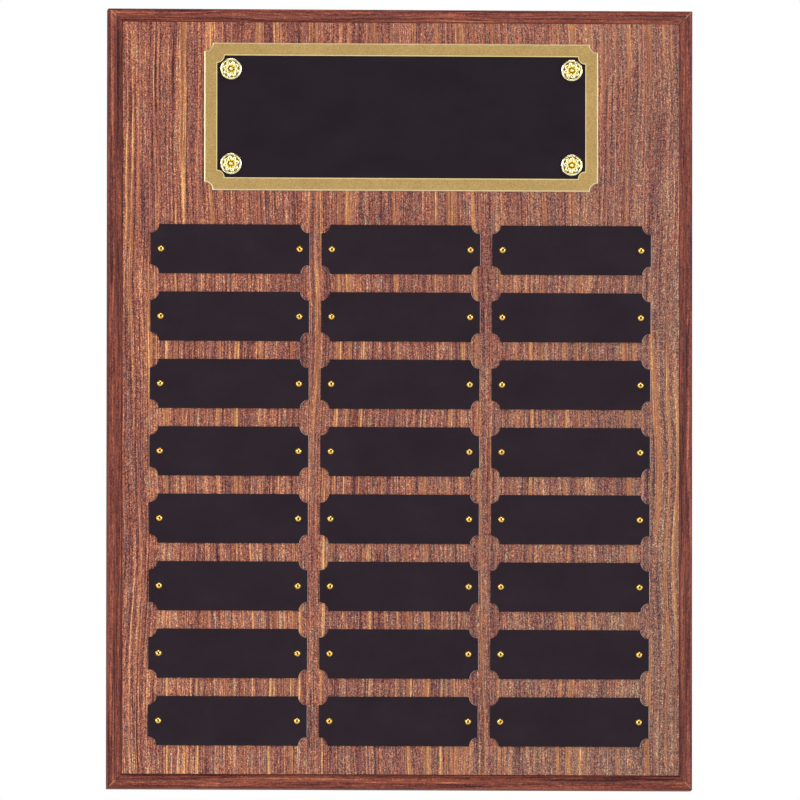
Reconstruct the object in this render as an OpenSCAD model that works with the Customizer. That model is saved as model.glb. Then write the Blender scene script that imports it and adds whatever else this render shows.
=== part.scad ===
// Perpetual award plaque.
// A laminated board with a mitred and shaped edge moulding carries one large header plate, held by four
// rosettes, and a grid of small name plates, each held by two round-head screws. It hangs on two screws
// in the wall by a pair of keyhole slots in its back.
//
// X runs across the plaque and Z up it. The front faces -Y, and the origin is the middle of the back.

/* [Board] */
// Overall width of the board
board_w = 228.6; // [222:0.1:300]
// Overall height of the board
board_h = 304.8; // [296:0.1:400]
// Overall thickness of the board, without its plates
board_t = 15.9; // [14:0.1:25]
// Thickness of the wood-grain laminate on the front
laminate_t = 0.8; // [0.6:0.1:1.5]
// Thickness of the balancing sheet on the back
back_sheet_t = 0.5; // [0.3:0.1:1]

/* [Edge moulding] */
// Width of the moulding, from its outer face to the laminate
mould_w = 5.5; // [5.5:0.1:8]
// Width of the rounded bead along the outer front corner
bead_w = 2.8; // [1.5:0.1:2.8]
// Radius of the hollow between the bead and the laminate
cove_r = 2.1; // [1.5:0.1:2.1]
// How far the laminate stands proud of the moulding beside it
lip_h = 0.5; // [0.2:0.1:0.6]

/* [Header plate] */
// Width of the header plate
header_w = 154; // [140:0.5:160]
// Height of the header plate
header_h = 57.7; // [50:0.1:60]
// Thickness of the header plate
header_t = 0.65; // [0.5:0.05:1.2]
// Height of the header plate's centre above the board's centre
header_z = 110; // [106:0.1:110]
// Radius of the scooped corners of the header plate
header_scoop_r = 3.25; // [2:0.05:5]
// Width of the bare border around the black field
border_w = 5; // [3:0.1:6]
// Radius of the scooped corners of the black field
field_scoop_r = 2.9; // [2:0.05:3.1]
// Distance between rosettes across the header
rosette_dx = 133.3; // [120:0.1:133.4]
// Distance between rosettes up the header
rosette_dz = 37.1; // [30:0.1:37.3]

/* [Name plates] */
// Number of columns of name plates
columns = 3; // [1:1:3]
// Number of rows of name plates
rows = 8; // [1:1:8]
// Width of a name plate
plate_w = 62.2; // [58:0.1:64]
// Height of a name plate
plate_h = 19.2; // [16:0.1:22]
// Thickness of a name plate
plate_t = 0.6; // [0.4:0.05:1]
// Radius of the scooped corners of a name plate
plate_scoop_r = 3.4; // [2:0.1:4]
// Distance from one column to the next
column_pitch = 66.8; // [65:0.1:68]
// Distance from one row to the next
row_pitch = 26.34; // [24:0.01:26.5]
// How far each row sits to the left of the row above it, because the plates are laid by eye
row_drift = 0.12; // [0:0.01:0.2]
// Height of the top row's centre above the board's centre
top_row_z = 58.2; // [55:0.1:60]
// Distance between the two screws of a plate
screw_dx = 54.2; // [50:0.1:55]

/* [Fasteners] */
// Diameter of a screw's head
screw_head_d = 2.7; // [2.4:0.1:3.2]
// Height of a screw's head
screw_head_h = 1; // [0.8:0.05:1.2]
// Diameter of a screw's shank
screw_d = 1.3; // [1:0.05:1.4]
// Length of a screw under its head
screw_l = 7; // [5:0.5:9]
// Diameter of a rosette
rosette_d = 8.3; // [8:0.1:9]
// Diameter of a rosette's pin
pin_d = 1.6; // [1.2:0.1:1.8]
// Length of a rosette's pin behind the rosette
pin_l = 8; // [6:0.5:9]

/* [Hanging] */
// Distance between the two keyhole slots
keyhole_dx = 101.6; // [80:0.1:104]
// Height of the keyholes' round entries above the board's centre
keyhole_z = 114.3; // [105:0.1:116]
// Diameter of a keyhole's round entry, for the head of a wall screw
entry_d = 9.5; // [8:0.1:10]
// Width of the narrow part, for the shank of a wall screw
neck_w = 4.8; // [4.5:0.1:6]
// How far the narrow part climbs above the entry
neck_l = 12.7; // [10:0.1:16]
// Depth of the keyhole
keyhole_depth = 8.5; // [6:0.1:9]
// Thickness of wood left behind the wall screw's head
keyhole_lip = 3; // [2:0.1:3.5]

/* [Hidden] */
$fn = 72;
// Overcut that carries a cutting shape past the face it cuts.
over = 1;

// The core, laminate and back sheet all fill the frame that the moulding makes.
panel_w = board_w - 2 * mould_w;
panel_h = board_h - 2 * mould_w;
core_t = board_t - laminate_t - back_sheet_t;

// Moulding profile: the bead and the narrow flat beside it lie below the front face.
bead_drop = lip_h + cove_r;
land_w = 0.3;
cove_start = mould_w - land_w - cove_r;
quirk_w = 0.25;
quirk_d = 0.2;
back_arris = 0.4;

// Header field, a coat of enamel on the header plate.
enamel_t = 0.05;
field_w = header_w - 2 * border_w;
field_h = header_h - 2 * border_w;
header_face = board_t + header_t + enamel_t;

// Screws: a domed head with a cross recess and a pointed shank.
screw_point_l = 1.6;
recess_w = 0.4;
recess_l = 1.7;
recess_d = 0.5;
screw_dome_r = (screw_head_d * screw_head_d / 4 + screw_head_h * screw_head_h) / (2 * screw_head_h);
plate_hole_d = screw_d + 0.2;
pilot_clearance = 0.1;
pilot_spare = 0.5;
pilot_depth = max(screw_l - plate_t, pin_l - header_t - enamel_t) + pilot_spare;

// Rosettes: a rounded rim, a ring of petals, a raised middle with a smaller ring, and a bead on it.
rosette_rim_h = 0.7;
rosette_edge_r = 0.3;
rosette_boss_r = 1.7;
rosette_boss_h = 1.15;
petals = 8;
petal_r = 0.9;
petal_ring_r = 2.5;
petal_z = 0.5;
inner_petal_r = 0.55;
inner_ring_r = 1.25;
inner_petal_z = 1.05;
middle_bead_r = 0.8;
middle_bead_z = 1.2;
pin_socket = 0.9;
pin_point_l = 2;
pin_hole_d = pin_d + 0.2;
pin_socket_clearance = 0.04;

// Every name plate is a node of its own, named by its row and column.
PLATES = [for (r = [1:rows]) for (c = [1:columns]) str("name_plate_r", r, "_c", c)];

// Places -------------------------------------------------------------------------------------------

// Middle of the name plate in row r and column c. The top row is centred across the board.
function plate_x(r, c) = (c - (columns + 1) / 2) * column_pitch - (r - 1) * row_drift;
function plate_z(r) = top_row_z - (r - 1) * row_pitch;

// Puts the children, drawn in the XY plane and rising along +Z, on a face of the board that lies at
// the given depth in front of the back face, so that they rise out of the front.
module on_front(depth) {
    translate([0, -depth, 0]) rotate([90, 0, 0]) children();
}

// Repeats the children at each screw, in the plane of the front. $turn is the recess's angle.
module at_screws() {
    for (r = [1:rows])
        for (c = [1:columns])
            for (side = [-1, 1])
                let ($turn = (r * 47 + c * 31 + side * 29) % 180)
                    translate([plate_x(r, c) + side * screw_dx / 2, plate_z(r), 0]) children();
}

// Repeats the children at each rosette, in the plane of the front.
module at_rosettes() {
    for (sx = [-1, 1])
        for (sz = [-1, 1])
            translate([sx * rosette_dx / 2, header_z + sz * rosette_dz / 2, 0]) children();
}

// Repeats the children at each keyhole's entry, seen from the front, in the plane of the front.
module at_keyholes() {
    for (sx = [-1, 1])
        translate([sx * keyhole_dx / 2, keyhole_z, 0]) children();
}

// Shapes -------------------------------------------------------------------------------------------

// A rectangle with a quarter circle scooped out of each corner.
module scooped_plate(w, h, scoop_r) {
    difference() {
        square([w, h], center = true);
        for (sx = [-1, 1])
            for (sy = [-1, 1])
                translate([sx * w / 2, sy * h / 2]) circle(r = scoop_r);
    }
}

// Outline of a keyhole: a round entry and a slot that climbs from it to a round end.
module keyhole_outline(slot_w) {
    circle(d = entry_d);
    translate([-slot_w / 2, 0]) square([slot_w, neck_l]);
    translate([0, neck_l]) circle(d = slot_w);
}

// The space of one keyhole, cut from the back at Z = 0 towards the front at +Z.
module keyhole_space() {
    translate([0, 0, -over]) linear_extrude(keyhole_lip + over) keyhole_outline(neck_w);
    translate([0, 0, keyhole_lip]) linear_extrude(keyhole_depth - keyhole_lip) keyhole_outline(entry_d);
}

// Holes for the screws and pins that go into the board, from the front face inward to a depth.
module pilot_holes(depth) {
    on_front(board_t - depth) {
        at_screws() cylinder(d = screw_d + pilot_clearance, h = depth + over);
        at_rosettes() cylinder(d = pin_d + pilot_clearance, h = depth + over);
    }
}

// Cross-section of the moulding: X inward from the outer face, Y forward from the back.
module moulding_profile() {
    bead_top = board_t - bead_drop;
    difference() {
        square([mould_w, board_t]);
        // Everything in front of the bead, the cove and the narrow land beside the laminate.
        translate([-over, bead_top]) square([cove_start + over, bead_drop + over]);
        translate([cove_start, board_t - lip_h]) circle(r = cove_r);
        translate([cove_start, board_t - lip_h]) square([mould_w, lip_h + over]);
        // The bead's rounded corner.
        translate([-over, bead_top - bead_w]) difference() {
            square([bead_w + over, bead_w + over]);
            translate([bead_w + over, 0]) circle(r = bead_w);
        }
        // The fine groove between the bead and the cove.
        translate([bead_w, bead_top - quirk_d]) square([quirk_w, quirk_d + over]);
        // The eased corner at the back.
        rotate(45) square(back_arris * sqrt(2), center = true);
    }
}

// One strip of moulding along the bottom edge of a frame, mitred at both ends.
module moulding_strip(length, frame_half) {
    intersection() {
        translate([-length / 2, 0, -frame_half])
            rotate([180, -90, 0]) linear_extrude(length) moulding_profile();
        translate([0, over, 0]) rotate([90, 0, 0]) linear_extrude(board_t + 2 * over)
            polygon([
                [-length / 2, -frame_half],
                [length / 2, -frame_half],
                [length / 2 - mould_w, mould_w - frame_half],
                [mould_w - length / 2, mould_w - frame_half]
            ]);
    }
}

// One rosette head, with its seat at Z = 0 and a blind hole for its pin.
module rosette() {
    difference() {
        union() {
            rotate_extrude() {
                square([rosette_d / 2 - rosette_edge_r, rosette_rim_h]);
                square([rosette_d / 2, rosette_rim_h - rosette_edge_r]);
                translate([rosette_d / 2 - rosette_edge_r, rosette_rim_h - rosette_edge_r])
                    circle(r = rosette_edge_r);
                square([rosette_boss_r, rosette_boss_h]);
            }
            intersection() {
                union() {
                    for (i = [0:petals - 1])
                        rotate(i * 360 / petals) translate([petal_ring_r, 0, petal_z]) sphere(r = petal_r);
                    for (i = [0:petals - 1])
                        rotate((i + 0.5) * 360 / petals)
                            translate([inner_ring_r, 0, inner_petal_z]) sphere(r = inner_petal_r);
                    translate([0, 0, middle_bead_z]) sphere(r = middle_bead_r);
                }
                cylinder(d = rosette_d, h = rosette_d);
            }
        }
        translate([0, 0, -over]) cylinder(d = pin_d + pin_socket_clearance, h = pin_socket + over);
    }
}

// One nail, from its blunt end in the rosette at +Z to its point at -Z.
module rosette_pin() {
    rotate_extrude()
        polygon([
            [0, pin_socket],
            [pin_d / 2, pin_socket],
            [pin_d / 2, pin_point_l - pin_l],
            [0, -pin_l]
        ]);
}

// One round-head screw, with the underside of its head at Z = 0.
module screw(turn) {
    difference() {
        rotate_extrude() {
            intersection() {
                translate([0, screw_head_h - screw_dome_r]) circle(r = screw_dome_r);
                square([screw_head_d / 2, screw_head_h]);
            }
            polygon([
                [0, 0],
                [screw_d / 2, 0],
                [screw_d / 2, screw_point_l - screw_l],
                [0, -screw_l]
            ]);
        }
        for (arm = [0, 90])
            rotate(turn + arm)
                translate([-recess_l / 2, -recess_w / 2, screw_head_h - recess_d])
                    cube([recess_l, recess_w, screw_head_h]);
    }
}

// Sub-parts ----------------------------------------------------------------------------------------

module core_board() {
    color("tan") difference() {
        translate([-panel_w / 2, -back_sheet_t - core_t, -panel_h / 2]) cube([panel_w, core_t, panel_h]);
        pilot_holes(pilot_depth);
        on_front(0) at_keyholes() keyhole_space();
    }
}

module front_laminate() {
    color([0.61, 0.4, 0.33]) difference() {
        translate([-panel_w / 2, -board_t, -panel_h / 2]) cube([panel_w, laminate_t, panel_h]);
        pilot_holes(laminate_t + over);
    }
}

module back_sheet() {
    color([0.45, 0.33, 0.25]) difference() {
        translate([-panel_w / 2, -back_sheet_t, -panel_h / 2]) cube([panel_w, back_sheet_t, panel_h]);
        on_front(0) at_keyholes() keyhole_space();
    }
}

module edge_moulding_bottom() {
    color([0.48, 0.27, 0.23]) moulding_strip(board_w, board_h / 2);
}

module edge_moulding_top() {
    color([0.5, 0.29, 0.24]) rotate([0, 180, 0]) moulding_strip(board_w, board_h / 2);
}

module edge_moulding_left() {
    color([0.48, 0.27, 0.23]) rotate([0, 90, 0]) moulding_strip(board_h, board_w / 2);
}

module edge_moulding_right() {
    color([0.46, 0.26, 0.22]) rotate([0, -90, 0]) moulding_strip(board_h, board_w / 2);
}

module header_plate() {
    color([0.75, 0.62, 0.39]) on_front(board_t) difference() {
        translate([0, header_z, 0]) linear_extrude(header_t)
            scooped_plate(header_w, header_h, header_scoop_r);
        translate([0, 0, -over]) at_rosettes() cylinder(d = pin_hole_d, h = header_t + 2 * over);
    }
}

module header_enamel() {
    color([0.17, 0.15, 0.17]) on_front(board_t + header_t) difference() {
        translate([0, header_z, 0]) linear_extrude(enamel_t) scooped_plate(field_w, field_h, field_scoop_r);
        translate([0, 0, -over]) at_rosettes() cylinder(d = pin_hole_d, h = enamel_t + 2 * over);
    }
}

module rosette_heads() {
    color([0.9, 0.78, 0.42]) on_front(header_face) at_rosettes() rosette();
}

module rosette_pins() {
    color([0.75, 0.72, 0.66]) on_front(header_face) at_rosettes() rosette_pin();
}

module plate_screws() {
    color([0.85, 0.68, 0.3]) on_front(board_t + plate_t) at_screws() screw($turn);
}

module name_plate(r, c) {
    color([0.19, 0.16, 0.19]) on_front(board_t) translate([plate_x(r, c), plate_z(r), 0]) difference() {
        linear_extrude(plate_t) scooped_plate(plate_w, plate_h, plate_scoop_r);
        for (side = [-1, 1])
            translate([side * screw_dx / 2, 0, -over]) cylinder(d = plate_hole_d, h = plate_t + 2 * over);
    }
}

core_board();
front_laminate();
back_sheet();
edge_moulding_left();
edge_moulding_right();
edge_moulding_top();
edge_moulding_bottom();
header_plate();
header_enamel();
rosette_heads();
rosette_pins();
plate_screws();
for (r = [1:rows])
    for (c = [1:columns])
        name_plate(r, c);
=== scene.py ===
import math
import random

import bmesh
import bpy
import numpy as np
from mathutils import Matrix, Vector

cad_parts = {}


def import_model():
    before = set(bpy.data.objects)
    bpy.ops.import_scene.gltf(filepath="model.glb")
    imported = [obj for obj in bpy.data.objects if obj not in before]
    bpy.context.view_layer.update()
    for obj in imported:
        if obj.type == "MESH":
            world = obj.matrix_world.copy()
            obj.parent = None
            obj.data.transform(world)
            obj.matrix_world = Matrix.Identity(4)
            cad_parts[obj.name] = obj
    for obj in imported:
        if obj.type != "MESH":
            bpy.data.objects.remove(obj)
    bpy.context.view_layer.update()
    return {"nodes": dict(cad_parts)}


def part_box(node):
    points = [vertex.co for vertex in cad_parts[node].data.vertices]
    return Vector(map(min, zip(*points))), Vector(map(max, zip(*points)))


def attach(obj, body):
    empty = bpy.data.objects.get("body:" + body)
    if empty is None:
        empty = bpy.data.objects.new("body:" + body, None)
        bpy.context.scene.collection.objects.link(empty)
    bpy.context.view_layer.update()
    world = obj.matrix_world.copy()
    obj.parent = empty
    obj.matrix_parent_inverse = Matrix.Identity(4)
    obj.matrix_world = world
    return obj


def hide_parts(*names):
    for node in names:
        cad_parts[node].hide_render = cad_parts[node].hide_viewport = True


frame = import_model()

MM = 0.001
NODES = frame["nodes"]


def srgb(red, green, blue):
    """Linear colour of an sRGB colour given from 0 to 255."""
    parts = [c / 255 for c in (red, green, blue)]
    return tuple(c / 12.92 if c <= 0.04045 else ((c + 0.055) / 1.055) ** 2.4 for c in parts) + (1.0,)


# Places taken from the frame ----------------------------------------------------------------------

board_low, board_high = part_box("edge_moulding_left")[0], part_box("edge_moulding_right")[1]
HALF_W = board_high.x / MM
HALF_H = board_high.z / MM
panel_low, panel_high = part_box("front_laminate")
FRONT_Y = panel_low.y
MOULD_W = HALF_W - panel_high.x / MM
plates = {name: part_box(name) for name in sorted(NODES) if name.startswith("name_plate")}

# Sizes of the CAD part that its boxes don't tell, in millimetres ----------------------------------

PLATE_SCOOP_R = 3.4
HEADER_SCOOP_R = 3.25
FIELD_SCOOP_R = 2.9
PIN_R = 0.8
MOULD_GROOVE_AT = 2.93
SCREW_HEAD_R = 1.35
SCREW_HEAD_H = 1.0
SCREW_SHANK_R = 0.65
SCREW_LENGTH = 7.0
SCREW_POINT = 1.6
ROSETTE_TOP = 2.0

FRONT = (0, -1, 0)
RIGHT = (1, 0, 0)


# Materials ----------------------------------------------------------------------------------------

class Shader:
    """A material's node tree, with a short call for each kind of node. Its lengths are millimetres."""

    def __init__(self, name):
        self.material = bpy.data.materials.new(name)
        self.material.use_nodes = True
        self.tree = self.material.node_tree
        self.principled = self.tree.nodes["Principled BSDF"]
        self.texture = self.node("ShaderNodeTexCoord")
        mm = self.node("ShaderNodeMapping")
        self.put(mm.inputs["Vector"], self.texture.outputs["Object"])
        mm.inputs["Scale"].default_value = (1 / MM,) * 3
        split = self.node("ShaderNodeSeparateXYZ")
        self.put(split.inputs[0], mm.outputs[0])
        self.x, self.y, self.z = split.outputs
        self.mm = mm.outputs[0]

    def node(self, kind):
        return self.tree.nodes.new(kind)

    def put(self, socket, value):
        """Feeds a socket with another node's output or with a plain value."""
        if isinstance(value, bpy.types.NodeSocket):
            self.tree.links.new(value, socket)
        else:
            socket.default_value = value

    def set(self, **values):
        """Feeds the Principled node: base_color=..., roughness=... and so on."""
        for name, value in values.items():
            self.put(self.principled.inputs[name.replace("_", " ").title().replace("Ior", "IOR")], value)

    def math(self, operation, first, second=0.0, clamp=False):
        made = self.node("ShaderNodeMath")
        made.operation = operation
        made.use_clamp = clamp
        for socket, value in zip(made.inputs, (first, second)):
            self.put(socket, value)
        return made.outputs[0]

    def add(self, first, second):
        return self.math("ADD", first, second)

    def times(self, first, second):
        return self.math("MULTIPLY", first, second)

    def vector(self, x, y, z):
        made = self.node("ShaderNodeCombineXYZ")
        for socket, value in zip(made.inputs, (x, y, z)):
            self.put(socket, value)
        return made.outputs[0]

    def noise(self, place, detail=1.0, roughness=0.5):
        """Noise from 0 to 1 about 0.5, with cells one unit of the given place across."""
        made = self.node("ShaderNodeTexNoise")
        self.put(made.inputs["Vector"], place)
        made.inputs["Scale"].default_value = 1.0
        made.inputs["Detail"].default_value = detail
        made.inputs["Roughness"].default_value = roughness
        return made.outputs["Fac"]

    def swing(self, place, size, detail=1.0, roughness=0.5):
        """Noise centred on zero, times a size."""
        return self.times(self.math("SUBTRACT", self.noise(place, detail, roughness), 0.5), size)

    def step(self, value, low, high):
        """0 below low, 1 above high, smooth between them. Low above high turns it round."""
        made = self.node("ShaderNodeMapRange")
        made.interpolation_type = "SMOOTHSTEP"
        for name, given in zip(("Value", "From Min", "From Max"), (value, low, high)):
            self.put(made.inputs[name], given)
        return made.outputs["Result"]

    def ramp(self, factor, stops):
        """Colours along a factor; stops are pairs of position and colour."""
        made = self.node("ShaderNodeValToRGB")
        self.put(made.inputs["Fac"], factor)
        line = made.color_ramp.elements
        while len(line) < len(stops):
            line.new(0.5)
        for element, (position, colour) in zip(line, stops):
            element.position = position
            element.color = colour
        return made.outputs["Color"]

    def mix(self, factor, first, second, blend="MIX"):
        made = self.node("ShaderNodeMix")
        made.data_type = "RGBA"
        made.blend_type = blend
        self.put(made.inputs["Factor"], factor)
        self.put(made.inputs["A"], first)
        self.put(made.inputs["B"], second)
        return made.outputs["Result"]

    def bump(self, height, depth):
        """Bump whose height of 1 stands for a depth in millimetres."""
        made = self.node("ShaderNodeBump")
        made.inputs["Distance"].default_value = depth * MM
        self.put(made.inputs["Height"], height)
        self.put(self.principled.inputs["Normal"], made.outputs["Normal"])

    def facing(self, direction, low, high):
        """1 on faces that look along a direction, 0 on the others, by the cosine between them."""
        product = self.node("ShaderNodeVectorMath")
        product.operation = "DOT_PRODUCT"
        self.put(product.inputs[0], self.texture.outputs["Normal"])
        self.put(product.inputs[1], direction)
        return self.step(product.outputs["Value"], low, high)


def laminate_material():
    """Printed walnut: orange and purple-brown streaks up the board, broken up by a fine speckle."""
    s = Shader("walnut_laminate")
    # The grain wanders from side to side as it climbs.
    slow = s.swing(s.vector(s.times(s.x, 1 / 55), 0.0, s.times(s.z, 1 / 80)), 7.0)
    quick = s.swing(s.vector(s.times(s.x, 1 / 6), 3.0, s.times(s.z, 1 / 14)), 0.7)
    across = s.add(s.x, s.add(slow, quick))

    def layer(cell, length, size, seed, detail=0.0):
        place = s.vector(s.times(across, 1 / cell), seed, s.times(s.z, 1 / length))
        return s.swing(place, size, detail)

    def line(cell, length, seed):
        return s.step(layer(cell, length, 1.0, seed), 0.14, 0.22)

    bands = s.add(layer(4.5, 120.0, 0.16, 1.7), layer(1.7, 60.0, 0.2, 4.1))
    light_band = s.step(s.add(layer(2.4, 130.0, 1.0, 29.3), layer(0.8, 40.0, 0.25, 33.1)), 0.1, 0.19)
    streaks = s.add(layer(0.55, 70.0, 0.5, 5.3), layer(0.42, 18.0, 0.42, 7.9))
    light_line, dark_line = line(0.75, 110.0, 17.3), line(0.6, 50.0, 23.9)
    light = s.add(s.times(light_line, 0.15), s.times(light_band, 0.16))
    drawn = s.add(light, s.times(dark_line, -0.2))
    calm = s.math("SUBTRACT", 1.0, s.times(s.math("MAXIMUM", light_line, light_band), 0.5))
    specks = s.times(s.add(layer(0.4, 3.5, 0.42, 9.1), layer(0.36, 0.5, 1.1, 13.7)), calm)
    flame = layer(6.0, 38.0, 0.24, 41.3, 1.0)
    # The grain is drawn more faintly towards the right.
    strength = s.add(0.97, s.times(s.x, -0.26 / HALF_W))
    drawing = s.times(s.add(s.add(bands, drawn), streaks), strength)
    # The whole sheet is a little paler towards its sides and its foot.
    slope = s.add(s.times(s.x, 0.012 / HALF_W), s.times(s.z, -0.018 / HALF_H))
    sides = s.times(s.math("ABSOLUTE", s.x), 0.04 / HALF_W)
    level = s.add(0.478, s.add(slope, sides))
    tone = s.math("ADD", s.add(drawing, s.add(specks, flame)), level, clamp=True)
    colour = s.ramp(tone, [
        (0.0, srgb(48, 18, 28)), (0.25, srgb(94, 50, 53)), (0.5, srgb(137, 84, 74)),
        (0.75, srgb(182, 122, 97)), (1.0, srgb(236, 186, 138)),
    ])
    # Redder towards the upper left, greyer towards the lower right, and in bands and flecks.
    drift = s.add(s.times(s.x, 0.46 / HALF_W), s.times(s.z, -0.2 / HALF_H))
    patch = s.times(s.add(layer(3.0, 45.0, 1.3, 31.0), layer(0.42, 6.0, 3.4, 37.0)), strength)
    hue = s.math("ADD", s.add(drift, patch), 0.46, clamp=True)
    cast = s.ramp(hue, [(0.0, srgb(255, 239, 222)), (0.5, srgb(253, 250, 250)), (1.0, srgb(219, 251, 255))])
    cast = s.mix(s.times(light_band, 0.7), cast, srgb(252, 252, 206))
    # The sheet's cut edge shows its dark paper core.
    print_side = s.facing(FRONT, 0.35, 0.65)
    s.set(base_color=s.mix(print_side, srgb(84, 46, 38), s.mix(1.0, colour, cast, "MULTIPLY")))
    s.set(roughness=s.math("SUBTRACT", 0.62, s.times(tone, 0.16)), specular_ior_level=0.25)
    s.bump(tone, 0.03)
    return s.material


def moulding_material(name, runs_up):
    """Stained solid wood, its grain along the strip: a painted highlight along its groove, open mitres, and
    a glue line with painted shade beside the laminate.
    """
    s = Shader(name)
    along, over = (s.z, s.x) if runs_up else (s.x, s.z)
    bend = s.swing(s.vector(s.times(over, 1 / 30), s.times(s.y, 1 / 30), s.times(along, 1 / 60)), 3.0)

    def layer(cell, length, size, seed, detail=0.0):
        place = s.vector(
            s.times(s.add(over, bend), 1 / cell),
            s.add(s.times(s.add(s.y, bend), 1 / cell), seed),
            s.times(along, 1 / length),
        )
        return s.swing(place, size, detail)

    broad = layer(1.4, 45.0, 0.65, 2.0)
    lines = s.add(layer(0.5, 30.0, 0.5, 7.0), layer(0.45, 8.0, 0.45, 9.0))
    fine = s.add(layer(0.42, 2.5, 0.45, 11.0), layer(0.4, 0.6, 0.75, 15.0))
    vein = s.times(s.step(layer(0.9, 60.0, 1.0, 19.0), 0.1, 0.2), -0.2)
    # The upright strips are darker than the others, and the right-hand one is darker still as painted shade.
    right_strip_shade = s.times(s.step(s.x, 0.0, HALF_W - MOULD_W), 0.06)
    wood = s.math("SUBTRACT", 0.46 if runs_up else 0.49, right_strip_shade if runs_up else 0.0)
    tone = s.math("ADD", s.add(s.add(broad, vein), s.add(lines, fine)), wood, clamp=True)
    colour = s.ramp(tone, [
        (0.0, srgb(44, 12, 15)), (0.25, srgb(86, 35, 33)), (0.5, srgb(121, 59, 48)),
        (0.75, srgb(157, 85, 62)), (1.0, srgb(198, 124, 88)),
    ])
    side_gap = s.math("SUBTRACT", HALF_W, s.math("ABSOLUTE", s.x))
    end_gap = s.math("SUBTRACT", HALF_H, s.math("ABSOLUTE", s.z))
    inward = side_gap if runs_up else end_gap
    # Painted highlight: a pale grey line along the groove, where polish would glint.
    groove_highlight = s.step(s.math("ABSOLUTE", s.math("SUBTRACT", inward, MOULD_GROOVE_AT)), 0.34, 0.12)
    colour = s.mix(s.times(groove_highlight, 0.42), colour, srgb(150, 112, 100))
    # Distance from the mitre plane, in which the two strips meet at each corner.
    mitre = s.math("ABSOLUTE", s.math("SUBTRACT", side_gap, end_gap))
    wobble = s.swing(s.vector(s.times(s.x, 1 / 1.2), s.times(s.y, 1 / 1.2), s.z), 0.5)
    opened = s.step(mitre, s.add(0.34, wobble), s.add(0.1, wobble))
    filler = s.mix(s.step(inward, 2.6, 3.4), srgb(214, 158, 118), srgb(66, 32, 30))
    # The filler is rubbed away at the very corner.
    kept = s.step(inward, 0.5, 1.1)
    colour = s.mix(s.times(s.times(opened, kept), 0.7), colour, filler)
    # A dark line along the laminate: glue, and painted shade of the joint.
    glue_and_shade = s.step(inward, MOULD_W - 0.6, MOULD_W - 0.2)
    s.set(base_color=s.mix(s.times(glue_and_shade, 0.42), colour, srgb(44, 18, 19)))
    s.set(roughness=s.math("SUBTRACT", 0.66, s.times(tone, 0.16)), specular_ior_level=0.22)
    s.bump(tone, 0.05)
    return s.material


def core_material():
    """Pressed wood fibre: fine tangled flecks with darker chips."""
    s = Shader("core_fibreboard")
    flecks = s.noise(s.vector(s.times(s.x, 2.2), s.times(s.y, 3.5), s.times(s.z, 1.6)), 4.0, 0.65)
    chips = s.step(s.noise(s.vector(s.times(s.x, 0.8), s.y, s.times(s.z, 0.7)), 2.0), 0.58, 0.7)
    tone = s.math("SUBTRACT", flecks, s.times(chips, 0.12), clamp=True)
    s.set(base_color=s.ramp(tone, [
        (0.25, srgb(112, 80, 52)), (0.5, srgb(158, 122, 84)), (0.75, srgb(192, 158, 116))]))
    s.set(roughness=s.add(0.82, s.times(flecks, 0.15)), specular_ior_level=0.2)
    s.bump(flecks, 0.15)
    return s.material


def back_sheet_material():
    """Matt brown melamine, printed with a plain upright grain, and a few faint rubs."""
    s = Shader("back_sheet")
    pebble = s.noise(s.vector(s.times(s.x, 2.4), 0.0, s.times(s.z, 2.4)), 2.0)
    cloud = s.noise(s.vector(s.times(s.x, 1 / 26), 4.0, s.times(s.z, 1 / 34)), 4.0, 0.6)
    rubs = s.step(s.noise(s.vector(s.times(s.x, 0.9), 8.0, s.times(s.z, 1 / 18)), 3.0), 0.64, 0.8)
    grain = s.noise(s.vector(s.times(s.x, 1 / 1.3), 6.0, s.times(s.z, 1 / 60)), 3.0, 0.65)
    tone = s.add(s.times(pebble, 0.25), s.add(s.times(cloud, 0.2), s.times(grain, 0.55)))
    colour = s.ramp(tone, [(0.35, srgb(84, 58, 43)), (0.5, srgb(110, 80, 60)), (0.65, srgb(136, 104, 80))])
    s.set(base_color=s.mix(s.times(rubs, 0.25), colour, srgb(150, 122, 98)))
    s.set(roughness=s.add(0.5, s.times(pebble, 0.2)), specular_ior_level=0.35)
    s.bump(pebble, 0.04)
    return s.material


def header_brass_material():
    """Satin brass with a fine grit-blasted speckle, bright-cut round the field, with a paler band painted as
    a highlight at its outer edge.
    """
    s = Shader("header_brass")
    grit = s.noise(s.vector(s.times(s.x, 2.6), s.y, s.times(s.z, 2.6)), 1.0, 0.7)
    cloud = s.noise(s.vector(s.times(s.x, 1 / 14), 0.0, s.times(s.z, 1 / 14)), 3.0)
    tone = s.add(s.times(grit, 0.8), s.times(cloud, 0.2))
    face = s.ramp(tone, [(0.3, srgb(188, 153, 95)), (0.5, srgb(206, 173, 111)), (0.7, srgb(224, 193, 129))])
    front = s.facing(FRONT, 0.8, 0.97)
    round_field = s.step(outline_gap(s, "header_enamel", FIELD_SCOOP_R), 0.25, 0.5)
    inside_edge = s.step(outline_gap(s, "header_plate", HEADER_SCOOP_R), -0.32, -0.56)
    satin = s.times(front, s.times(round_field, inside_edge))
    # The pale line round the field is a bright cut. The pale band on the chamfer and at the outer edge is a
    # painted highlight.
    cut_line_and_edge_highlight = s.mix(inside_edge, srgb(255, 243, 200), srgb(255, 234, 170))
    s.set(base_color=s.mix(satin, cut_line_and_edge_highlight, face), metallic=1.0)
    s.set(roughness=s.add(s.times(front, 0.2), s.add(0.22, s.times(grit, 0.16))))
    s.bump(grit, 0.012)
    return s.material


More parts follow.
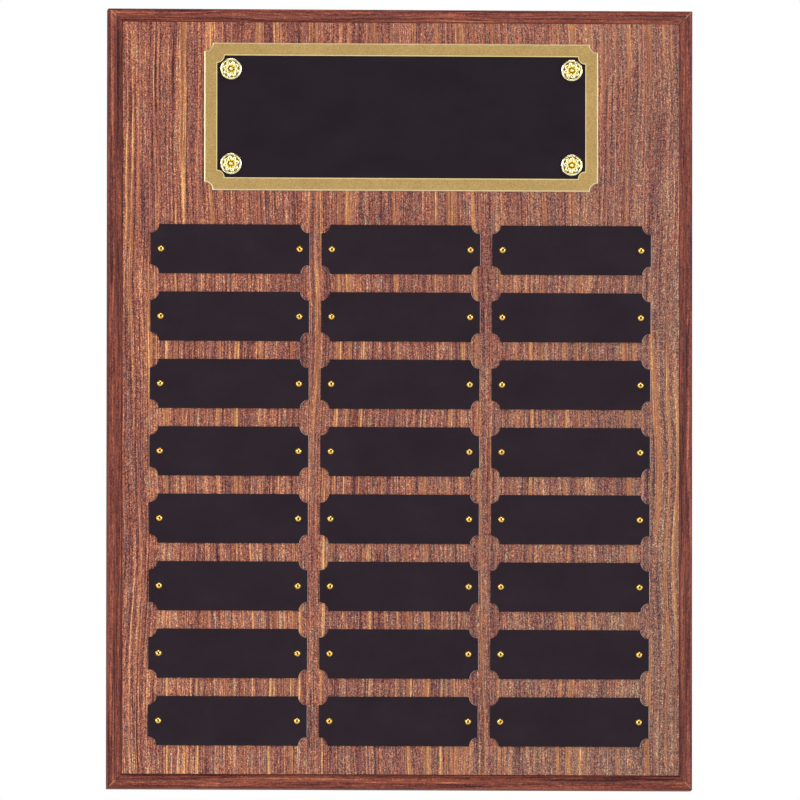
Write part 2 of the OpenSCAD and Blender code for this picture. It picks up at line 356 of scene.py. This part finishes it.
def outline_gap(s, node, scoop_r):
    """Distance in millimetres outside the scooped outline of a sheet on the header, negative inside."""
    low, high = (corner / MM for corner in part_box(node))
    middle = (low + high) / 2
    over_x = s.math("ABSOLUTE", s.math("SUBTRACT", s.x, middle.x))
    over_z = s.math("ABSOLUTE", s.math("SUBTRACT", s.z, middle.z))
    out_x = s.math("SUBTRACT", over_x, high.x - middle.x)
    out_z = s.math("SUBTRACT", over_z, high.z - middle.z)
    to_corner = s.math("SQRT", s.add(s.times(out_x, out_x), s.times(out_z, out_z)))
    scoop = s.math("SUBTRACT", scoop_r, to_corner)
    return s.math("MAXIMUM", s.math("MAXIMUM", out_x, out_z), scoop)


def black_coat_material(name, shades, edge_highlight, highlight_colour):
    """Matt black coat on metal: faint mottling, and a painted highlight of pale bare metal on its
    right-facing edges.
    """
    s = Shader(name)
    mottle = s.noise(s.vector(s.times(s.x, 1.6), s.y, s.times(s.z, 1.6)), 3.0, 0.6)
    cloud = s.noise(s.vector(s.times(s.x, 1 / 18), 2.0, s.times(s.z, 1 / 12)), 2.0)
    tone = s.add(s.times(mottle, 0.5), s.times(cloud, 0.5))
    coat = s.ramp(tone, [(0.35, shades[0]), (0.65, shades[1])])
    edge = s.math("SUBTRACT", 1.0, s.facing(FRONT, 0.75, 0.95))
    # Painted highlight: coated edges that face right turn into pale bare metal.
    right_edge_highlight = s.times(s.times(edge, s.facing(RIGHT, 0.1, 0.5)), edge_highlight)
    s.set(base_color=s.mix(right_edge_highlight, coat, highlight_colour), metallic=right_edge_highlight)
    s.set(roughness=s.add(0.38, s.times(tone, 0.16)), specular_ior_level=0.2)
    s.bump(mottle, 0.006)
    return s.material


def bright_brass_material(name, shades, roughness):
    """Polished brass: pale on its high places. Painted shade turns it deeper gold, then a dark
    tarnish-coloured brown, in its hollows and on a rosette's small flower.
    """
    s = Shader(name)
    hollow = s.node("ShaderNodeAttribute")
    hollow.attribute_name = "hollow"
    smear = s.noise(s.vector(s.times(s.x, 1.4), s.times(s.y, 1.4), s.times(s.z, 1.4)), 3.0)
    scratch = s.noise(s.vector(s.times(s.x, 9.0), s.times(s.y, 2.0), s.times(s.z, 2.4)), 2.0)
    shade_level = s.math("ADD", hollow.outputs["Fac"], s.swing(s.mm, 0.15, 2.0), clamp=True)
    s.set(base_color=s.ramp(shade_level, list(zip((0.1, 0.45, 0.85), shades))), metallic=1.0)
    s.set(roughness=s.add(roughness, s.add(s.times(smear, 0.1), s.times(hollow.outputs["Fac"], 0.3))))
    s.bump(scratch, 0.004)
    return s.material


def steel_material():
    """Drawn steel wire of the pins, lightly streaked along its length."""
    s = Shader("pin_steel")
    draw = s.noise(s.vector(s.times(s.x, 5.0), s.times(s.y, 0.5), s.times(s.z, 5.0)), 2.0)
    s.set(base_color=s.ramp(draw, [(0.3, srgb(170, 166, 158)), (0.7, srgb(205, 202, 196))]), metallic=1.0)
    s.set(roughness=s.add(0.25, s.times(draw, 0.2)))
    s.bump(draw, 0.01)
    return s.material


def dress(node, material, bevel=0.0):
    """Gives a CAD node its material, and eases its sharp edges by a bevel in millimetres."""
    piece = NODES[node]
    if not piece.material_slots:
        piece.data.materials.append(None)
    for slot in piece.material_slots:
        slot.link = "OBJECT"
        slot.material = material
    if bevel:
        weld = piece.modifiers.new("weld", "WELD")
        weld.merge_threshold = 0.001 * MM
        flat = piece.modifiers.new("flat", "DECIMATE")
        flat.decimate_type = "DISSOLVE"
        flat.angle_limit = math.radians(0.5)
        ease = piece.modifiers.new("ease", "BEVEL")
        ease.width = bevel * MM
        ease.segments = 2
        ease.use_clamp_overlap = False
        ease.limit_method = "ANGLE"
        ease.angle_limit = math.radians(30)
        even = piece.modifiers.new("even", "WEIGHTED_NORMAL")
        even.keep_sharp = False


# Sheet-metal plates -------------------------------------------------------------------------------

SHARP_FROM = math.radians(35)
SCOOP_STEPS = 14
HOLE_STEPS = 20
HOLE_SPARE = 0.1
PLATE_CHAMFER = 0.13
HEADER_CHAMFER = 0.28


def stand_in(name, mesh, material, replaced):
    """Makes a mesh the piece that stands for a CAD node and rides on the board."""
    mesh.materials.append(material)
    mesh.shade_smooth()
    mesh.set_sharp_from_angle(angle=SHARP_FROM)
    piece = bpy.data.objects.new(name, mesh)
    bpy.context.scene.collection.objects.link(piece)
    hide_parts(replaced)
    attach(piece, "root")


def scooped_outline(half_w, half_h, scoop_r, inset):
    """Outline of a plate with scooped corners, drawn in by an inset, anticlockwise from the front."""
    reach = scoop_r + inset
    trim = math.asin(inset / reach)
    outline = []
    for quarter, (side, end) in enumerate(((1, 1), (-1, 1), (-1, -1), (1, -1))):
        first = math.radians(270 + 90 * quarter) - trim
        last = math.radians(180 + 90 * quarter) + trim
        for k in range(SCOOP_STEPS + 1):
            angle = first + (last - first) * k / SCOOP_STEPS
            outline.append((side * half_w + reach * math.cos(angle), end * half_h + reach * math.sin(angle)))
    return outline


def plate_mesh(name, low, high, scoop_r, chamfer, holes, hole_r):
    """A plate as thick as its CAD box, chamfered round its front and drilled; all in millimetres."""
    middle_x, middle_z = (low.x + high.x) / 2, (low.z + high.z) / 2
    half_w, half_h = (high.x - low.x) / 2, (high.z - low.z) / 2
    mesh = bmesh.new()
    rings = []
    for inset, depth in ((0.0, high.y), (0.0, low.y + chamfer), (chamfer, low.y)):
        outline = scooped_outline(half_w, half_h, scoop_r, inset)
        rings.append([mesh.verts.new((middle_x + u, depth, middle_z + v)) for u, v in outline])
    for back, front in zip(rings, rings[1:]):
        join_rings(mesh, back, front)
    loops = {high.y: [rings[0]], low.y: [rings[-1]]}
    for x, z in holes:
        around = [2 * math.pi * k / HOLE_STEPS for k in range(HOLE_STEPS)]
        rim = [(x + hole_r * math.cos(a), z + hole_r * math.sin(a)) for a in around]
        walls = [[mesh.verts.new((u, depth, v)) for u, v in rim] for depth in (low.y, high.y)]
        join_rings(mesh, *walls)
        loops[low.y].append(walls[0])
        loops[high.y].append(walls[1])
    for depth, normal in ((low.y, (0, -1, 0)), (high.y, (0, 1, 0))):
        edges = []
        for loop in loops[depth]:
            edges += [mesh.edges.get((v, loop[k - 1])) for k, v in enumerate(loop)]
        bmesh.ops.triangle_fill(mesh, edges=edges, use_beauty=True, normal=normal)
    bmesh.ops.scale(mesh, vec=(MM,) * 3, verts=mesh.verts)
    bmesh.ops.recalc_face_normals(mesh, faces=mesh.faces)
    made = bpy.data.meshes.new(name)
    mesh.to_mesh(made)
    mesh.free()
    return made


def join_rings(mesh, first, second):
    """A wall of four-sided faces between two rings of as many vertices."""
    for k, vertex in enumerate(first):
        mesh.faces.new((first[k - 1], vertex, second[k], second[k - 1]))


def name_plates(material):
    """Every coated name plate, as a piece of its own."""
    for name, (low, high) in plates.items():
        holes = [(x, (low.z + high.z) / 2 / MM) for x in screw_columns(low, high)]
        mesh = plate_mesh(name, low / MM, high / MM, PLATE_SCOOP_R, PLATE_CHAMFER,
                          holes, SCREW_SHANK_R + HOLE_SPARE)
        stand_in(name.replace("name", "coated"), mesh, material, name)


def screw_columns(low, high):
    """Where a name plate's two screws stand, in millimetres across."""
    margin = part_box("plate_screws")[0].x + SCREW_HEAD_R * MM - min(box[0].x for box in plates.values())
    return [(low.x + margin) / MM, (high.x - margin) / MM]


def header(material):
    """The header plate, drilled for the pins of its rosettes."""
    low, high = (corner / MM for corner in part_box("header_plate"))
    pins_low, pins_high = (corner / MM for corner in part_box("rosette_pins"))
    holes = [(x, z) for x in (pins_low.x + PIN_R, pins_high.x - PIN_R)
             for z in (pins_low.z + PIN_R, pins_high.z - PIN_R)]
    mesh = plate_mesh("header_sheet", low, high, HEADER_SCOOP_R, HEADER_CHAMFER, holes, PIN_R + HOLE_SPARE)
    stand_in("header_sheet", mesh, material, "header_plate")


# Turned and stamped pieces ------------------------------------------------------------------------

def mesh_of(name, vertices, faces, hollow):
    """A mesh from arrays, which keeps how much painted shade each of its points gets."""
    mesh = bpy.data.meshes.new(name)
    mesh.from_pydata([tuple(v) for v in vertices], [], faces)
    mesh.attributes.new("hollow", "FLOAT", "POINT").data.foreach_set("value", hollow)
    return mesh


def dome(offset, half_width):
    """Height from 0 to 1 of a half-round ridge, at an offset from its middle."""
    return np.sqrt(np.clip(1 - (offset / half_width) ** 2, 0, 1))


ROSETTE_R = (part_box("rosette_heads")[1].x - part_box("rosette_pins")[1].x) / MM + PIN_R
ROSETTE_RINGS = 72
ROSETTE_SPOKES = 160
ROSETTE_EDGE = 0.45
GROUND_TOP = 0.85
RIM_R = 3.76
RIM_HALF_W = ROSETTE_R - RIM_R
PETALS = 8
PETAL_PITCH = 2 * math.pi / PETALS
DASH_R = 3.12
FLOWER_R = 2.05
BEAD_R = 0.78
BEAD_FOOT = 1.0
GROOVE_R = 0.98
GROOVE_HALF_W = 0.24


def petal_ring(radius, angle, centre, half_length, half_width, shift):
    """Height from 0 to 1 of a ring of egg-shaped petals, turned by a part of their pitch."""
    nearest = (angle / PETAL_PITCH + shift + 0.5) % 1 - 0.5
    aside = radius * np.sin(nearest * PETAL_PITCH)
    along = (radius - centre) / half_length
    return np.sqrt(np.clip(1 - np.abs(along) ** 3 - (aside / half_width) ** 2, 0, None))


def dashes(radius, angle):
    """Depth from 0 to 1 of the short pits between the tips of the petals."""
    aside = radius * ((angle / PETAL_PITCH) % 1 - 0.5) * PETAL_PITCH
    return np.clip(1.3 - ((radius - DASH_R) / 0.26) ** 4 - (aside / 0.66) ** 4, 0, 1)


def rosette_height(radius, angle):
    """Height of a rosette's face: rim, petals with pits between their tips, small flower and bead."""
    rim = np.where(radius > RIM_R - RIM_HALF_W, ROSETTE_EDGE + 0.6 * dome(radius - RIM_R, RIM_HALF_W), 0)
    petals = 0.45 + 0.8 * petal_ring(radius, angle, centre=2.3, half_length=0.98, half_width=0.86, shift=0.0)
    flower = 0.7 + 0.9 * petal_ring(radius, angle, centre=1.42, half_length=0.6, half_width=0.46, shift=0.5)
    ring = 0.35 * dome(radius - GROOVE_R, GROOVE_HALF_W)
    ground = GROUND_TOP - ring - 0.5 * dashes(radius, angle)
    bead = BEAD_FOOT + (ROSETTE_TOP - BEAD_FOOT) * dome(radius, BEAD_R)
    height = np.maximum.reduce([rim, petals, ground, np.where(radius < FLOWER_R, flower - ring, 0)])
    return np.where(radius < BEAD_R, bead, height)


def rosette_template():
    """One rosette with its seat at height 0: points, faces, and the painted shade of each point."""
    rings, spokes = ROSETTE_RINGS, ROSETTE_SPOKES
    radii = ROSETTE_R * np.linspace(0, 1, rings + 1)[1:]
    angles = np.linspace(0, 2 * math.pi, spokes, endpoint=False)
    radius, angle = np.meshgrid(radii, angles, indexing="ij")
    height = rosette_height(radius, angle)
    height[-1] = ROSETTE_EDGE
    points = np.stack([radius * np.cos(angle), radius * np.sin(angle), height], -1).reshape(-1, 3)
    points = np.vstack([points, [[0, 0, ROSETTE_TOP]]])
    middle = len(points) - 1
    seat = np.stack([ROSETTE_R * np.cos(angles), ROSETTE_R * np.sin(angles), 0 * angles], -1)
    base = len(points)
    points = np.vstack([points, seat])
    faces = []
    for k in range(spokes):
        after = (k + 1) % spokes
        faces.append((middle, k, after))
        for ring in range(rings - 1):
            low, high = ring * spokes, (ring + 1) * spokes
            faces.append((low + k, high + k, high + after, low + after))
        outer = (rings - 1) * spokes
        faces.append((outer + k, base + k, base + after, outer + after))
    faces.append(tuple(base + k for k in reversed(range(spokes))))
    reach = np.hypot(points[:, 0], points[:, 1])
    # Painted shade: dark on the low ground, in the pits and in the groove, and a deeper gold on the small
    # flower.
    low_ground = np.clip((GROUND_TOP + 0.05 - points[:, 2]) / 0.4, 0, 1) * (reach < RIM_R - 0.25)
    middle_tint = 0.45 * np.clip((2.2 - reach) / 0.5, 0, 1) * (reach > BEAD_R - 0.05)
    return points, faces, np.maximum(low_ground, middle_tint)


def placed(template, places):
    """Copies a template to each place, given as a matrix in millimetres, all in one mesh."""
    points, faces, hollow = template
    all_points, all_faces = [], []
    for number, place in enumerate(places):
        turned = points @ np.array(place.to_3x3()).T + np.array(place.translation)
        all_points.append(turned)
        first = number * len(points)
        all_faces += [tuple(first + i for i in face) for face in faces]
    return np.vstack(all_points) * MM, all_faces, np.tile(hollow, len(places))


def facing_out(x, depth, z, turn):
    """Place on the front: a template's up axis points out of the board, turned about it in degrees."""
    return (
        Matrix.Translation((x, depth, z))
        @ Matrix.Rotation(math.radians(90), 4, "X")
        @ Matrix.Rotation(math.radians(turn), 4, "Z")
    )


def rosettes(material):
    """Four stamped rosettes at the corners of the header's black field."""
    low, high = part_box("rosette_heads")
    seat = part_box("header_enamel")[0].y / MM
    places = []
    for column, x in enumerate((low.x / MM + ROSETTE_R, high.x / MM - ROSETTE_R)):
        for row, z in enumerate((low.z / MM + ROSETTE_R, high.z / MM - ROSETTE_R)):
            turn = 11 + 17 * row + 29 * column
            places.append(facing_out(x, seat, z, turn))
    mesh = mesh_of("rosettes", *placed(rosette_template(), places))
    stand_in("rosettes", mesh, material, "rosette_heads")


DOME_R = (SCREW_HEAD_R ** 2 + SCREW_HEAD_H ** 2) / (2 * SCREW_HEAD_H)
DOME_STEPS = 8
SCREW_SPOKES = 32
SCREW_TURN_SEED = 24
RECESS_DEPTH = 0.55
SLIVER = 0.004


def screw_profile():
    """Half outline of a screw, from the top of its head to its point, as radius and height."""
    sweep = math.asin(SCREW_HEAD_R / DOME_R)
    arc = [sweep * k / DOME_STEPS for k in range(1, DOME_STEPS)]
    line = [(DOME_R * math.sin(a), SCREW_HEAD_H - DOME_R * (1 - math.cos(a))) for a in arc]
    # The rim of the head is slightly rounded.
    line += [(SCREW_HEAD_R - 0.02, 0.09), (SCREW_HEAD_R, 0.05), (SCREW_HEAD_R - 0.04, 0.0)]
    line += [(SCREW_SHANK_R, 0.0), (SCREW_SHANK_R, SCREW_POINT - SCREW_LENGTH)]
    return line


def screw_blank():
    """The mesh of a screw before its recess is cut."""
    spokes = SCREW_SPOKES
    mesh = bmesh.new()
    rings = []
    for radius, height in screw_profile():
        around = [2 * math.pi * k / spokes for k in range(spokes)]
        rings.append([mesh.verts.new((radius * math.cos(a), radius * math.sin(a), height)) for a in around])
    top = mesh.verts.new((0, 0, SCREW_HEAD_H))
    tip = mesh.verts.new((0, 0, -SCREW_LENGTH))
    for k in range(spokes):
        after = (k + 1) % spokes
        mesh.faces.new((top, rings[0][k], rings[0][after]))
        for upper, lower in zip(rings, rings[1:]):
            mesh.faces.new((upper[k], lower[k], lower[after], upper[after]))
        mesh.faces.new((rings[-1][k], tip, rings[-1][after]))
    blank = bpy.data.meshes.new("screw_blank")
    mesh.to_mesh(blank)
    mesh.free()
    return blank


def screw_template():
    """One round-head screw with a cross recess, as points, faces and the painted shade of each point."""
    body = bpy.data.objects.new("screw_blank", screw_blank())
    cutter = bpy.data.objects.new("screw_cutter", recess_cutter())
    for made in (body, cutter):
        bpy.context.scene.collection.objects.link(made)
    cut = body.modifiers.new("recess", "BOOLEAN")
    cut.operation = "DIFFERENCE"
    cut.solver = "EXACT"
    cut.object = cutter
    bpy.context.view_layer.update()
    points, faces = tidied(body.evaluated_get(bpy.context.evaluated_depsgraph_get()).to_mesh())
    for made in (body, cutter):
        bpy.data.objects.remove(made)
    radius = np.hypot(points[:, 0], points[:, 1])
    surface = SCREW_HEAD_H - DOME_R + np.sqrt(np.clip(DOME_R ** 2 - radius ** 2, 0, None))
    # Painted shade: darker the deeper a point lies in the recess.
    hollow = np.clip((surface - points[:, 2]) / RECESS_DEPTH, 0, 1)
    return points, faces, hollow


def tidied(shaped):
    """Points and three-sided faces of a cut mesh, without the slivers that the cut leaves."""
    mesh = bmesh.new()
    mesh.from_mesh(shaped)
    bmesh.ops.remove_doubles(mesh, verts=mesh.verts, dist=SLIVER)
    bmesh.ops.dissolve_limit(mesh, angle_limit=math.radians(1), verts=mesh.verts, edges=mesh.edges)
    bmesh.ops.triangulate(mesh, faces=mesh.faces, quad_method="BEAUTY", ngon_method="BEAUTY")
    bmesh.ops.dissolve_degenerate(mesh, edges=mesh.edges, dist=SLIVER)
    mesh.verts.index_update()
    points = np.array([v.co for v in mesh.verts])
    faces = [tuple(v.index for v in face.verts) for face in mesh.faces]
    mesh.free()
    return points, faces


def recess_cutter():
    """A cross that tapers as it goes down, which cuts a driver recess."""
    mesh = bmesh.new()
    floor_ring = cross_ring(mesh, reach=0.4, half_width=0.16, height=SCREW_HEAD_H - RECESS_DEPTH)
    mouth_ring = cross_ring(mesh, reach=0.82, half_width=0.24, height=SCREW_HEAD_H + 0.2)
    mesh.faces.new(list(reversed(floor_ring)))
    mesh.faces.new(mouth_ring)
    for k, low in enumerate(floor_ring):
        after = (k + 1) % len(floor_ring)
        mesh.faces.new((low, floor_ring[after], mouth_ring[after], mouth_ring[k]))
    cross = bpy.data.meshes.new("screw_cutter")
    mesh.to_mesh(cross)
    mesh.free()
    return cross


def cross_ring(mesh, reach, half_width, height):
    """The outline of a cross at one height, anticlockwise from above."""
    arm = [(reach, -half_width), (reach, half_width), (half_width, half_width)]
    ring = []
    for turn in range(4):
        spin = Matrix.Rotation(math.radians(90 * turn), 2)
        for corner in arm:
            ring.append(mesh.verts.new((*(spin @ Vector(corner)), height)))
    return ring


def screws(material):
    """Two screws through every name plate, each left at its own turn by the hand that drove it."""
    draw = random.Random(SCREW_TURN_SEED)
    places = []
    for low, high in plates.values():
        for x in screw_columns(low, high):
            places.append(facing_out(x, low.y / MM, (low.z + high.z) / 2 / MM, draw.uniform(0, 90)))
    mesh = mesh_of("plate_screw_set", *placed(screw_template(), places))
    stand_in("plate_screw_set", mesh, material, "plate_screws")


# The object ---------------------------------------------------------------------------------------

dress("front_laminate", laminate_material(), bevel=0.07)
upright = moulding_material("moulding_wood_upright", runs_up=True)
level = moulding_material("moulding_wood_level", runs_up=False)
for node in ("edge_moulding_left", "edge_moulding_right"):
    dress(node, upright, bevel=0.12)
for node in ("edge_moulding_top", "edge_moulding_bottom"):
    dress(node, level, bevel=0.12)
dress("core_board", core_material())
dress("back_sheet", back_sheet_material(), bevel=0.1)
header(header_brass_material())
dress("header_enamel", black_coat_material(
    "header_enamel", (srgb(22, 12, 22), srgb(29, 19, 29)), edge_highlight=0.0, highlight_colour=srgb(0, 0, 0)))
plate_material = black_coat_material(
    "plate_coat", (srgb(29, 17, 27), srgb(36, 24, 34)), edge_highlight=1.0, highlight_colour=srgb(205, 195, 195))
name_plates(plate_material)
dress("rosette_pins", steel_material(), bevel=0.04)
rosettes(bright_brass_material(
    "rosette_brass", (srgb(255, 247, 200), srgb(252, 234, 142), srgb(158, 130, 62)), roughness=0.17))
screws(bright_brass_material(
    "screw_brass", (srgb(255, 208, 112), srgb(206, 148, 58), srgb(124, 84, 26)), roughness=0.17))


# Studio -------------------------------------------------------------------------------------------

FLOOR_GAP = 0.135
FLOOR_R = 2.4
SKY_ON_OBJECT = 0.22


def floor():
    """A plain pale floor, a little below the plaque, which hangs."""
    mesh = bpy.data.meshes.new("studio_floor")
    outline = bmesh.new()
    bmesh.ops.create_circle(outline, cap_ends=True, segments=96, radius=FLOOR_R)
    outline.to_mesh(mesh)
    outline.free()
    s = Shader("studio_floor")
    s.set(base_color=srgb(238, 237, 235), roughness=0.75, specular_ior_level=0.2)
    mesh.materials.append(s.material)
    piece = bpy.data.objects.new("studio_floor", mesh)
    piece.location.z = board_low.z - FLOOR_GAP
    bpy.context.scene.collection.objects.link(piece)


def softbox(name, place, size, power, tint):
    """A rectangular lamp that points at the middle of the board's front."""
    lamp = bpy.data.lights.new(name, "AREA")
    lamp.shape = "RECTANGLE"
    lamp.size, lamp.size_y = size
    lamp.energy = power
    lamp.color = tint
    holder = bpy.data.objects.new(name, lamp)
    holder.location = place
    holder.rotation_euler = (Vector((0, FRONT_Y, 0)) - Vector(place)).to_track_quat("-Z", "Y").to_euler()
    holder.visible_camera = False
    bpy.context.scene.collection.objects.link(holder)


def world():
    """White behind the object, and a dimmer, even light on it."""
    made = bpy.data.worlds.new("studio")
    made.use_nodes = True
    tree = made.node_tree
    background = tree.nodes["Background"]
    background.inputs["Color"].default_value = (1, 1, 1, 1)
    path = tree.nodes.new("ShaderNodeLightPath")
    strength = tree.nodes.new("ShaderNodeMapRange")
    strength.inputs["To Min"].default_value = SKY_ON_OBJECT
    strength.inputs["To Max"].default_value = 1.0
    tree.links.new(path.outputs["Is Camera Ray"], strength.inputs["Value"])
    tree.links.new(strength.outputs["Result"], background.inputs["Strength"])
    bpy.context.scene.world = made


VIEW_AZIMUTH = -3.4
VIEW_ELEVATION = -3.4
VIEW_ROLL = 0.06
VIEW_DISTANCE = 12.0
VIEW_WIDTH = 0.3122
VIEW_AIM = Vector((-0.00037, 0.0, -0.00059))


def camera():
    """A long lens from slightly left of the plaque and slightly below it, aimed at its middle."""
    data = bpy.data.cameras.new("camera")
    data.lens = data.sensor_width * VIEW_DISTANCE / VIEW_WIDTH
    data.clip_end = 2 * VIEW_DISTANCE
    holder = bpy.data.objects.new("camera", data)
    azimuth, elevation = math.radians(VIEW_AZIMUTH), math.radians(VIEW_ELEVATION)
    back = Vector((
        math.sin(azimuth) * math.cos(elevation),
        -math.cos(azimuth) * math.cos(elevation),
        math.sin(elevation),
    ))
    aim = Vector((VIEW_AIM.x, FRONT_Y, VIEW_AIM.z))
    holder.location = aim + back * VIEW_DISTANCE
    turn = (-back).to_track_quat("-Z", "Y").to_matrix() @ Matrix.Rotation(math.radians(VIEW_ROLL), 3, "Z")
    holder.rotation_euler = turn.to_euler()
    bpy.context.scene.collection.objects.link(holder)
    bpy.context.scene.camera = holder


floor()
softbox("softbox_left", (-1.5, -1.5, 0.75), (1.1, 1.1), 24, (1.0, 0.98, 0.96))
softbox("softbox_right", (1.6, -1.3, 0.4), (0.9, 1.3), 24, (1.0, 1.0, 1.0))
softbox("softbox_top", (0.1, -0.9, 1.8), (1.2, 0.6), 10, (1.0, 0.99, 0.98))
softbox("strip_right", (1.7, 0.08, 0.0), (0.6, 1.6), 7, (1.0, 1.0, 1.0))
softbox("strip_left", (-1.7, -0.1, 0.1), (0.5, 1.4), 5, (1.0, 1.0, 1.0))
softbox("spark_low_left", (-0.45, -0.45, -0.24), (0.12, 0.12), 0.35, (1.0, 1.0, 1.0))
softbox("fill_back", (0.5, 1.9, 1.0), (1.2, 1.2), 14, (1.0, 1.0, 1.0))
world()
camera()
bpy.context.scene.view_settings.view_transform = "Standard"
